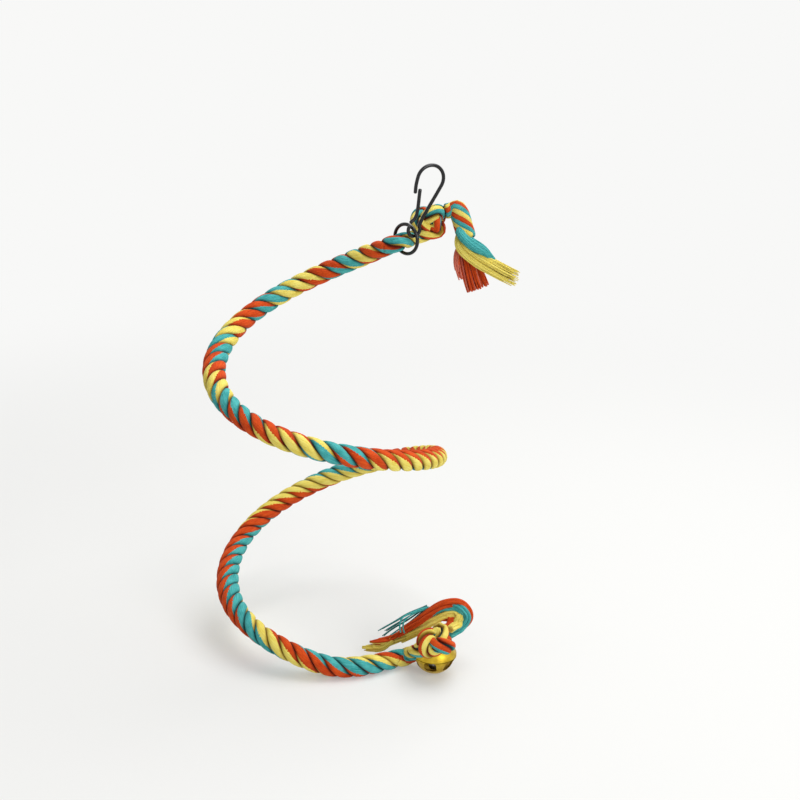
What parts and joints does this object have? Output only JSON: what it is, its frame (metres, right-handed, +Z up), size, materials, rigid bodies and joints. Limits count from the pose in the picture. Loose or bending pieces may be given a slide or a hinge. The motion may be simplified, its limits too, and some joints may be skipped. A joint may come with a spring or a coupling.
{
  "type": "spiral rope perch",
  "caption": "Hanging climbing perch for small cage birds: wire-cored cotton rope wound as an open spiral, knotted at both ends, with a wire snap hook on a ring and a slotted bell.",
  "frame": {"origin": "on the floor that the lowest turn of rope touches, under the middle of the whole perch", "axes": "+Z up along the spiral, -Y the side seen in front, +X towards the hook, knots and bell"},
  "size_m": [0.1564, 0.1212, 0.2357],
  "materials": {
    "rope": "laid cotton rope in red-orange, yellow and teal yarns",
    "teal_yarn": "loose cotton yarn",
    "yellow_yarn": "loose cotton yarn",
    "red_yarn": "loose cotton yarn",
    "pink_yarn": "loose cotton yarn",
    "core_steel": "drawn wire",
    "hook_wire": "dark plated wire",
    "bell_gold": "polished gold-coloured plate",
    "bell_steel": "plain"
  },
  "bodies": {
    "spiral": {"spiral_rope": "rope", "core_wire": "core_steel", "bottom_knot": "rope", "bell_tie": "yellow_yarn", "bottom_bight": "rope", "bottom_tail": "rope", "bottom_tassel_yellow": "yellow_yarn", "bottom_tassel_red": "red_yarn", "bottom_tassel_teal": "teal_yarn"},
    "top_end": {"top_knot": "rope"},
    "ring": {"link_ring": "hook_wire"},
    "hook": {"hook_frame": "hook_wire"},
    "gate": {"hook_gate": "hook_wire"},
    "top_tail": {"top_tail": "rope", "top_tassel_curl": "pink_yarn", "top_tassel_teal": "teal_yarn", "top_tassel_yellow": "yellow_yarn", "top_tassel_red": "red_yarn"},
    "bell": {"bell_upper": "bell_gold", "bell_lower": "bell_gold", "bell_loop": "bell_steel"},
    "pellet": {"bell_pellet": "bell_steel"}
  },
  "joints": [
    {"name": "spiral_stretch", "type": "slide", "parent": "spiral", "child": "top_end", "axis": [0, 0, 1], "range_m": [-0.05, 0.1], "stiffness_N_per_m": 75, "springref_m": 0.0012, "deforming": ["spiral_rope", "core_wire"]},
    {"name": "ring_turn", "type": "hinge", "parent": "top_end", "child": "ring", "pos_m": [0.01899, 0.03027, 0.19747], "axis": [0.6951, 0.7183, 0.0303], "range_deg": [-12, 35]},
    {"name": "hook_swing", "type": "hinge", "parent": "ring", "child": "hook", "pos_m": [0.02317, 0.02596, 0.20363], "axis": [0.53, -0.4834, -0.6967], "range_deg": [-5, 45]},
    {"name": "gate_flex", "type": "hinge", "parent": "hook", "child": "gate", "pos_m": [0.02137, 0.02487, 0.20739], "axis": [0.3618, -0.9272, -0.097], "range_deg": [-18, 0], "stiffness_Nm_per_rad": 0.02, "springref_deg": 5.73},
    {"name": "tail_swing", "type": "hinge", "parent": "top_end", "child": "top_tail", "pos_m": [0.043, 0.03882, 0.21101], "axis": [1, 0, 0], "range_deg": [-25, 25], "stiffness_Nm_per_rad": 0.004, "springref_deg": -2.35},
    {"name": "bell_turn", "type": "hinge", "parent": "spiral", "child": "bell", "pos_m": [0.03288, -0.04507, 0.0104], "axis": [0, 0, 1], "range_deg": [-30, 30]},
    {"name": "pellet_roll", "type": "hinge", "parent": "bell", "child": "pellet", "pos_m": [0.03288, -0.04507, 0.0104], "axis": [1, 0, 0], "range_deg": [-60, 60]}
  ]
}
